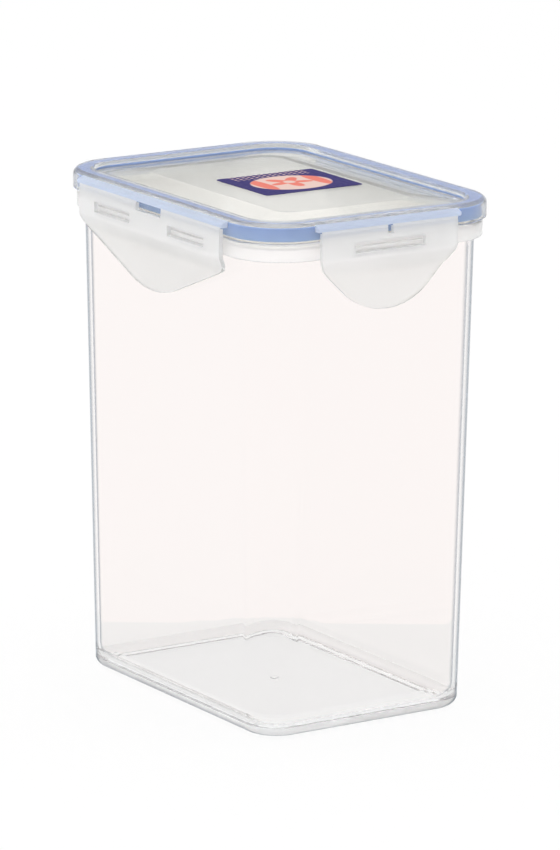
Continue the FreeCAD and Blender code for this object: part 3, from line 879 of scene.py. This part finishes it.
class CANISTER_OT_lid(Operator):
    """Milky lid: rim with its channel, plug wall, hipped panel and a hinge land on each side."""

    bl_idname = "canister.lid"
    bl_label = "Lid"

    def execute(self, context):
        """One profile carried round the mouth and closed by slopes and a plateau above and below."""
        shape = chosen("lid")
        flaps = chosen("flaps")
        top = LID_HIGH.z
        panel_top = top - shape.panel_drop
        panel_low = panel_top - shape.panel
        hip_rise = LABEL_LOW.z - panel_top
        inner = -shape.plug_outer - shape.plug_wall
        hip_edge = inner - shape.hip_margin
        channel = shape.reach - shape.wall
        corners = [
            (hip_edge, panel_top, 0.0),
            (inner, panel_top, SOFT_EDGE),
            (inner, top, shape.rim_inner_round),
            (shape.reach, top, shape.rim_round),
            (shape.reach, shape.skirt_low, SMALL_EDGE),
            (channel, shape.skirt_low, FINE_EDGE),
            (channel, SEAL_HIGH.z, SMALL_EDGE),
            (-shape.plug_outer, SEAL_HIGH.z, SMALL_EDGE),
            (-shape.plug_outer, LID_LOW.z, SOFT_EDGE),
            (inner, LID_LOW.z, SOFT_EDGE),
            (inner, panel_low, SOFT_EDGE),
            (hip_edge - shape.panel, panel_low, 0.0),
        ]
        rings = reach_rings(rounded(corners, PROFILE_STEPS))

        def crown(edge, shrink):
            """Rings from an edge up the even slopes to the plateau and in towards its middle."""
            corner = shape.plateau_corner - shrink
            plateau = np.array([*(edge[:2] - shape.hip_run), corner, edge[3] + hip_rise])
            slopes = edge + (plateau - edge) * HIP_STOPS
            return np.vstack([slopes, plateau[None], shrunk(plateau, PLATEAU_STOPS)])

        stack = np.vstack([crown(rings[0], 0.0)[::-1], rings, crown(rings[-1], shape.panel)])
        reach = stack[:, 0] - chosen("mouth").long_side / 2
        glow = np.interp(reach, GLOW_REACH, GLOW_SHARE) * (stack[:, 3] > SEAL_LOW.z)
        # Mark of the painted edge shade: steep rings of the rim outside the seal
        outer = (reach > SEAL_REACH) * upright_share(stack)
        marks = {
            "seal": np.repeat(glow, corner_columns().size),
            "corner": np.repeat(outer, corner_columns().size),
        }
        plastic = milky_plastic()
        piece = make_piece("lid_plate", [loft(ring_grid(stack))], plastic, marks=marks)
        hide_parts("lid")
        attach(piece, "lid")

        face = flap_face()
        root = shape.reach - shape.land_root
        low = HINGE + shape.land_gap
        high = HINGE + shape.land_rise
        section = [
            (root, low),
            (face - flaps.bevel_width, low),
            (face, low + flaps.bevel_height),
            (face, high - shape.land_slope),
            (shape.reach, high),
            (root, high),
        ]
        for side, kind in SIDES.items():
            half = flap_marks(kind)[0] + shape.land_margin
            block = bar(side, section, -half, half)
            marks = {"satin": np.ones(len(block[0]))}
            land = make_piece(f"hinge_land_{side}", [block], plastic, shape.land_round, marks=marks)
            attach(land, "lid")
        return {"FINISHED"}


class CANISTER_OT_seal(Operator):
    """Blue sealing ring: a flat band over the lip with a leg outside it."""

    bl_idname = "canister.seal"
    bl_label = "Sealing ring"

    def execute(self, context):
        """One closed profile carried round the mouth."""
        inner = -chosen("lid").plug_outer + SEAL_FIT + SEAL_GAP
        outer = SEAL_REACH - SEAL_GAP
        leg = SEAL_REACH - SEAL_LEG
        lip = chosen("mouth").top + SEAL_GAP
        top = SEAL_HIGH.z - SEAL_GAP
        corners = [
            (inner, lip, FINE_EDGE),
            (leg, lip, FINE_EDGE),
            (leg, SEAL_LOW.z, SOFT_EDGE),
            (outer, SEAL_LOW.z, SOFT_EDGE),
            (outer, top, SOFT_EDGE),
            (inner, top, SOFT_EDGE),
        ]
        rings = reach_rings(rounded(corners, closed=True))
        piece = make_piece("seal_ring", [loft(ring_grid(rings), closed=True)], soft_silicone())
        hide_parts("gasket")
        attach(piece, "lid")
        return {"FINISHED"}


def label_print(u, v):
    """Inks of the label by shares of its half length and half width.

    Pale: an oval panel. Coral: a rosette, whose radius swells and shrinks with the cosine of five times the
    angle, and two leaves beside it. Dots: a lattice of small discs along one edge.
    """

    def soft(value, width):
        """One where a value is below nought, falling to nought over a width."""
        return np.clip(0.5 - value / width, 0.0, 1.0)

    def oval(x, y, half):
        """Nought on an oval's edge, less inside it and more outside."""
        return np.hypot(x / half[0], y / half[1]) - 1.0

    pale = soft(oval(u - PANEL_SHIFT, v, PANEL_HALF), width=0.03)
    radius = np.hypot(u, v * ROSETTE_STRETCH)
    swell = ROSETTE_SWELL * np.cos(ROSETTE_PETALS * np.arctan2(v, u))
    petals = soft(radius - ROSETTE_RADIUS - swell, width=0.04)
    eye = soft(radius - ROSETTE_EYE, width=0.04)
    leaf = oval(np.abs(u) - LEAF_PLACE[0], np.abs(v) - LEAF_PLACE[1], LEAF_HALF)
    leaves = soft(leaf, width=0.1)
    coral = np.maximum(petals * (1 - eye), leaves) * pale
    lattice = np.hypot((u * DOT_COUNTS[0]) % 1.0 - 0.5, (v * DOT_COUNTS[1]) % 1.0 - 0.5)
    edge = (u < -DOT_START) & (np.abs(v) < DOT_REACH)
    dots = soft(lattice - DOT_RADIUS, width=0.12) * (1 - pale) * edge
    return {"pale": pale, "coral": coral, "dots": dots}


class CANISTER_OT_label(Operator):
    """Printed label stuck on the plateau of the lid."""

    bl_idname = "canister.label"
    bl_label = "Label"

    def execute(self, context):
        """A level grid whose corner squares are mapped onto quarter discs."""
        centre = (LABEL_LOW + LABEL_HIGH) / 2
        half = (LABEL_HIGH - LABEL_LOW) / 2
        corner = LABEL_CORNER
        lines = [filled([-side, corner - side, side - corner, side], LABEL_STEP) for side in half[:2]]
        flat = np.array(np.meshgrid(*lines))
        sides = np.array(half[:2])[:, None, None]
        over = np.clip(np.abs(flat) - sides + corner, 0.0, corner)
        arc = over * np.sqrt(1 - over[::-1] ** 2 / (2 * corner**2))
        plan = flat + np.sign(flat) * (arc - over) + np.array(centre[:2])[:, None, None]
        heights = (LABEL_HIGH.z, LABEL_LOW.z)
        sheets = [np.stack([*plan, np.full_like(plan[0], height)], axis=-1) for height in heights]
        sheet = sheet_solid(sheets, np.ones_like(plan[0, 1:, 1:], bool))
        inks = label_print(*(flat / sides))
        marks = {name: np.tile(np.ravel(value), 2) for name, value in inks.items()}
        piece = make_piece("label_sheet", [sheet], printed_paper(), marks=marks)
        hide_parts("label")
        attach(piece, "lid")
        return {"FINISHED"}


def flap_marks(kind):
    """Half width, tip height, notch half width, slot middles and slot length of a kind of flap."""
    flaps = chosen("flaps")
    if kind == "long":
        middles = [-flaps.long_spread, flaps.long_spread]
        return LONG_FLAP_HIGH.x, LONG_FLAP_LOW.z, LONG_FILM_LOW.x, middles, flaps.long_slot
    return SHORT_FLAP_HIGH.y, SHORT_FLAP_LOW.z, SHORT_FILM_LOW.y, [0.0], flaps.short_slot


def flap_outline(kind, across, down):
    """Lower part of a flap as a patch spread between its four edges.

    The top edge is level. The side edges fall straight and then follow the upper half of the corner arc.
    The bottom edge follows the other half of the corner arc, the slant and the tip arc. A point is the sum
    of the blend from top to bottom and the blend from side to side, less the blend of the four corners.
    """
    flaps = chosen("flaps")
    half, tip_low = flap_marks(kind)[:2]
    corner, tip, slope = [getattr(flaps, f"{kind}_{part}") for part in ("corner", "tip", "slope")]
    top = flaps.slot_low
    tip_middle = tip_low + tip
    tip_x = tip * math.sin(slope)
    tip_z = tip_middle - tip * math.cos(slope)
    corner_x = half - corner
    low_x = corner_x + corner * math.sin(slope)
    low_z = tip_z + (low_x - tip_x) * math.tan(slope)
    corner_z = low_z + corner * math.cos(slope)
    turn = (math.pi / 2 - slope) / 2
    end_x = corner_x + corner * math.cos(turn)

    u = (across + half) / (2 * half)
    bottom_x = (2 * u - 1) * end_x
    reach = np.abs(bottom_x)
    tip_arc = tip_middle - np.sqrt(np.maximum(tip**2 - reach**2, 0.0))
    slant = tip_z + (reach - tip_x) * math.tan(slope)
    corner_arc = corner_z - np.sqrt(np.maximum(corner**2 - np.maximum(reach - corner_x, 0.0) ** 2, 0.0))
    bottom_z = np.where(reach < tip_x, tip_arc, np.where(reach < low_x, slant, corner_arc))

    fall = top - corner_z
    way = down * (fall + corner * turn)
    swing = np.maximum(way - fall, 0.0) / corner
    side_x = corner_x + corner * np.cos(swing)
    side_z = top - np.minimum(way, fall) - corner * np.sin(swing)

    u, v = u[None], down[:, None]
    x = (1 - v) * across[None] + v * bottom_x[None] + (2 * u - 1) * side_x[:, None]
    x = x - (2 * u - 1) * ((1 - v) * half + v * end_x)
    z = (1 - v) * top + v * bottom_z[None] + side_z[:, None] - ((1 - v) * top + v * bottom_z[-1])
    return x, z


def flap_solid(side):
    """Points and faces of a flap: outer and inner sheets over one grid, joined along every free edge.

    Rows run across the flap and columns down it. The reach of each sheet is read from the flap's section
    at the height of the point. Quads in the slots and the notch are left out.
    """
    kind = SIDES[side]
    flaps = chosen("flaps")
    half, tip_low, notch, middles, slot = flap_marks(kind)
    top = LONG_FLAP_HIGH.z
    notch_low = HINGE - flaps.notch_drop
    slot_top = flaps.slot_low + flaps.slot_height
    edges = [middle + sign * slot / 2 for middle in middles for sign in (-1, 1)]
    across = filled([-half, half, -notch, notch, *edges], FLAP_STEP)
    upper = filled([flaps.slot_low, slot_top, notch_low, top], FLAP_STEP / 2)[::-1]
    low_x, low_z = flap_outline(kind, across, np.linspace(0.0, 1.0, FLAP_ROWS))
    x = np.vstack([np.broadcast_to(across, (len(upper), len(across))), low_x[1:]])
    z = np.vstack([np.broadcast_to(upper[:, None], (len(upper), len(across))), low_z[1:]])

    face = flap_face()
    back = face - flaps.thickness
    tongue = face - flaps.tongue_inset
    tip_face = tongue + flaps.tip_flare
    below = tip_low - flaps.tip_flare
    bend = flaps.bend_round
    outer = [
        (face - flaps.bevel_width, top, 0.0),
        (face, top - flaps.bevel_height, 0.0),
        (face, flaps.bend_top, bend),
        (tongue, flaps.bend_low, bend),
        (tip_face, below, 0.0),
    ]
    inner = [
        (back, top, 0.0),
        (back, flaps.bend_top, bend),
        (tongue - flaps.tongue, flaps.bend_low, bend),
        (tip_face - flaps.tongue, below, 0.0),
    ]
    lines = [rounded(corners)[::-1] for corners in (outer, inner)]
    sheets = [on_side(side, x, np.interp(z, line[:, 1], line[:, 0]), z) for line in lines]

    quads = [(grid[:-1, :-1] + grid[:-1, 1:] + grid[1:, :-1] + grid[1:, 1:]) / 4 for grid in (x, z)]
    solid = (np.abs(quads[0]) > notch) | (quads[1] < notch_low)
    for middle in middles:
        beside = np.abs(quads[0] - middle) > slot / 2
        solid &= beside | (quads[1] < flaps.slot_low) | (quads[1] > slot_top)
    return sheet_solid(sheets, solid)


class CANISTER_OT_flaps(Operator):
    """Frosted locking flaps with their hooks, one on each side."""

    bl_idname = "canister.flaps"
    bl_label = "Flaps"

    def execute(self, context):
        """Each flap is a bent sheet, and each hook a wedge-shaped section carried along its slot."""
        flaps = chosen("flaps")
        plastic = frosted_plastic()
        inner = flap_face() - flaps.thickness
        root = inner + HOOK_ROOT
        low = flaps.slot_low - flaps.hook_height
        section = [
            (root, flaps.slot_low),
            (flaps.hook_reach, flaps.slot_low),
            (flaps.hook_reach, flaps.slot_low - flaps.hook_height / 2),
            (inner, low),
            (root, low),
        ]
        for side, kind in SIDES.items():
            sheet = flap_solid(side)
            piece = make_piece(f"flap_sheet_{side}", [sheet], plastic, flaps.edge_round, sharp=60.0)
            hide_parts(f"flap_{side}")
            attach(piece, f"flap_{side}")
            middles, slot = flap_marks(kind)[3:]
            bars = [bar(side, section, middle - slot / 2, middle + slot / 2) for middle in middles]
            hooks = make_piece(f"flap_hooks_{side}", bars, plastic, HOOK_ROUND)
            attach(hooks, f"flap_{side}")
        return {"FINISHED"}


class CANISTER_OT_films(Operator):
    """Thin hinge films between the lid and each flap."""

    bl_idname = "canister.films"
    bl_label = "Hinge films"

    def execute(self, context):
        """Each film is an upright rounded strip carried along the hinge line beside the notch."""
        plastic = frosted_plastic()
        reach = -(LONG_FILM_LOW.y + FILM_RADIUS) - chosen("mouth").short_side / 2
        tall = FILM_RADIUS + FILM_OVERLAP
        corners = [(-FILM_HALF, -tall), (FILM_HALF, -tall), (FILM_HALF, tall), (-FILM_HALF, tall)]
        outline = rounded([(*corner, FILM_ROUND) for corner in corners], closed=True)
        section = outline + np.array([reach, HINGE])
        for side, kind in SIDES.items():
            half, _, notch = flap_marks(kind)[:3]
            start = on_side(side, 0.0, reach, HINGE + FILM_RADIUS * FILM_BLEND)
            end = on_side(side, 0.0, reach, HINGE - FILM_RADIUS * FILM_BLEND)
            for number, (low, high) in enumerate([(-half, -notch), (notch, half)], start=1):
                piece = make_piece(f"film_{side}_{number}", [bar(side, section, low, high)], plastic)
                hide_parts(f"web_{side}_{number}")
                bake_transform(piece)
        return {"FINISHED"}


class CANISTER_OT_stage(Operator):
    """White floor, soft light and the camera."""

    bl_idname = "canister.stage"
    bl_label = "Stage"

    def execute(self, context):
        scene = context.scene
        scene.view_settings.view_transform = "Standard"
        self.add_floor(scene)
        self.add_world(scene)
        self.add_lamps(scene)
        self.add_camera(scene)
        for kind in ("max", "glossy", "transmission"):
            setattr(scene.cycles, f"{kind}_bounces", BOUNCES)
        return {"FINISHED"}

    def add_floor(self, scene):
        """Disc: radius grows from the middle outward while the angle goes once round."""
        values = chosen("stage")
        radius = np.array(FLOOR_RINGS)[:, None] * values.floor_radius
        turn = np.linspace(0.0, 2 * np.pi, FLOOR_STEPS, endpoint=False)
        x = radius * np.cos(turn)
        y = radius * np.sin(turn)
        points = np.stack([x, y, np.full_like(x, -FLOOR_DROP)], axis=-1).reshape(-1, 3)
        faces = grid_quads(len(FLOOR_RINGS), FLOOR_STEPS).tolist()
        faces.append(list(range(FLOOR_STEPS))[::-1])
        mesh = bpy.data.meshes.new("floor")
        mesh.from_pydata(points.tolist(), [], [face[::-1] for face in faces])
        mesh.materials.append(stage_white())
        floor = bpy.data.objects.new("floor", mesh)
        scene.collection.objects.link(floor)

    def add_world(self, scene):
        """Even sky that looks white. Gloss shows it darker towards the horizon, as in a room."""
        world = bpy.data.worlds.new("studio")
        world.use_nodes = True
        tree = world.node_tree
        tree.nodes.clear()
        output = tree.nodes.new("ShaderNodeOutputWorld")
        path = tree.nodes.new("ShaderNodeLightPath")
        place = tree.nodes.new("ShaderNodeTexCoord")
        height = add_node(tree, "ShaderNodeSeparateXYZ", Vector=place.outputs["Generated"])
        rise = ramp(tree, height.outputs["Z"], start=0.1, end=0.5)
        room = between(tree, rise, HORIZON, WHITE)
        tone = between(tree, path.outputs["Is Glossy Ray"], WHITE, room)
        sky = add_node(tree, "ShaderNodeBackground", Color=tone, Strength=1.0)
        fill(tree, output.inputs["Surface"], sky.outputs["Background"])
        scene.world = world

    def add_lamps(self, scene):
        """Broad lamps that face the canister."""
        for name, (place, width, power) in LAMPS.items():
            light = bpy.data.lights.new(name, "AREA")
            light.size = width
            light.energy = power
            lamp = bpy.data.objects.new(name, light)
            lamp.location = place
            aim = Vector(LAMP_TARGET) - Vector(place)
            lamp.rotation_euler = aim.to_track_quat("-Z", "Y").to_euler()
            scene.collection.objects.link(lamp)

    def add_camera(self, scene):
        """Camera on a sphere round the target, rolled a little about its own axis."""
        values = chosen("stage")
        flat = math.cos(values.elevation)
        x = math.sin(values.azimuth) * flat
        y = -math.cos(values.azimuth) * flat
        back = Vector((x, y, math.sin(values.elevation)))
        view = bpy.data.cameras.new("camera")
        view.lens = values.lens
        view.shift_x = values.shift_x
        view.shift_y = values.shift_y
        view.clip_end = CAMERA_FAR
        camera = bpy.data.objects.new("camera", view)
        aim = (-back).to_track_quat("-Z", "Y").to_matrix().to_4x4()
        place = Matrix.Translation(Vector((0.0, 0.0, values.target)) + back * values.distance)
        camera.matrix_world = place @ aim @ Matrix.Rotation(values.roll, 4, "Z")
        scene.collection.objects.link(camera)
        scene.camera = camera


class CANISTER_PT_builder(Panel):
    """Sidebar list of the canister's pieces and values."""

    bl_label = "Canister"
    bl_space_type = "VIEW_3D"
    bl_region_type = "UI"
    bl_category = "Canister"

    def draw(self, context):
        for operator in OPERATORS:
            self.layout.operator(operator.bl_idname)
        for field in GROUPS:
            box = self.layout.box()
            values = getattr(context.scene, field)
            for key in values.bl_rna.properties.keys():
                if key not in ("rna_type", "name"):
                    box.prop(values, key)


GROUPS = {
    "canister_mouth": MouthSizes,
    "canister_container": ContainerSizes,
    "canister_lid": LidSizes,
    "canister_flaps": FlapSizes,
    "canister_finish": FinishValues,
    "canister_stage": StageValues,
}
OPERATORS = (
    CANISTER_OT_container,
    CANISTER_OT_lid,
    CANISTER_OT_seal,
    CANISTER_OT_label,
    CANISTER_OT_flaps,
    CANISTER_OT_films,
    CANISTER_OT_stage,
)
CLASSES = (*GROUPS.values(), *OPERATORS, CANISTER_PT_builder)


def register():
    for group in CLASSES:
        bpy.utils.register_class(group)
    for field, group in GROUPS.items():
        setattr(bpy.types.Scene, field, PointerProperty(type=group))


def unregister():
    for field in GROUPS:
        delattr(bpy.types.Scene, field)
    for group in reversed(CLASSES):
        bpy.utils.unregister_class(group)


def main():
    register()
    bpy.ops.canister.container()
    bpy.ops.canister.lid()
    bpy.ops.canister.seal()
    bpy.ops.canister.label()
    bpy.ops.canister.flaps()
    bpy.ops.canister.films()
    bpy.ops.canister.stage()


if __name__ == "__main__":
    main()
